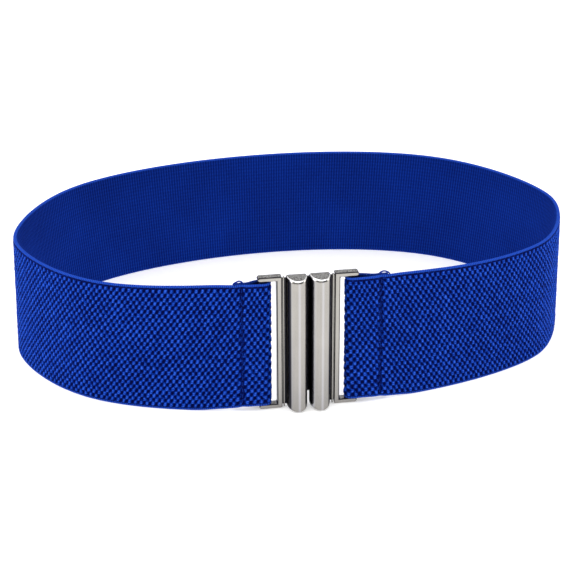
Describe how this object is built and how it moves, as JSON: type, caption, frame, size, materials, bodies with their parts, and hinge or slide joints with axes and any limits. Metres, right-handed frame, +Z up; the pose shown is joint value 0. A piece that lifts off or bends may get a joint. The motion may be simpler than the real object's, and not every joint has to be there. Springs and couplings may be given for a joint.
{
  "type": "elastic stretch belt",
  "caption": "Wide woven elastic waist belt, fastened by a metal buckle of interlocking half-round bars and standing on its edge as a closed oval loop.",
  "frame": {"origin": "on the surface that the belt stands on, under the middle of its outer box", "axes": "+X along the loop's long axis to the wearer's left, seen from in front, +Y from the buckle at the front towards the back, +Z up from the lower edge"},
  "size_m": [0.272, 0.1718, 0.0651],
  "materials": {
    "woven_elastic": "royal blue pebbled weave, matt, with smooth selvedges",
    "nickel_plating": "polished nickel plate on cast zinc alloy"
  },
  "bodies": {
    "root": {"elastic_band": "woven_elastic", "left_buckle_half": "nickel_plating", "right_buckle_half": "nickel_plating"}
  },
  "joints": []
}
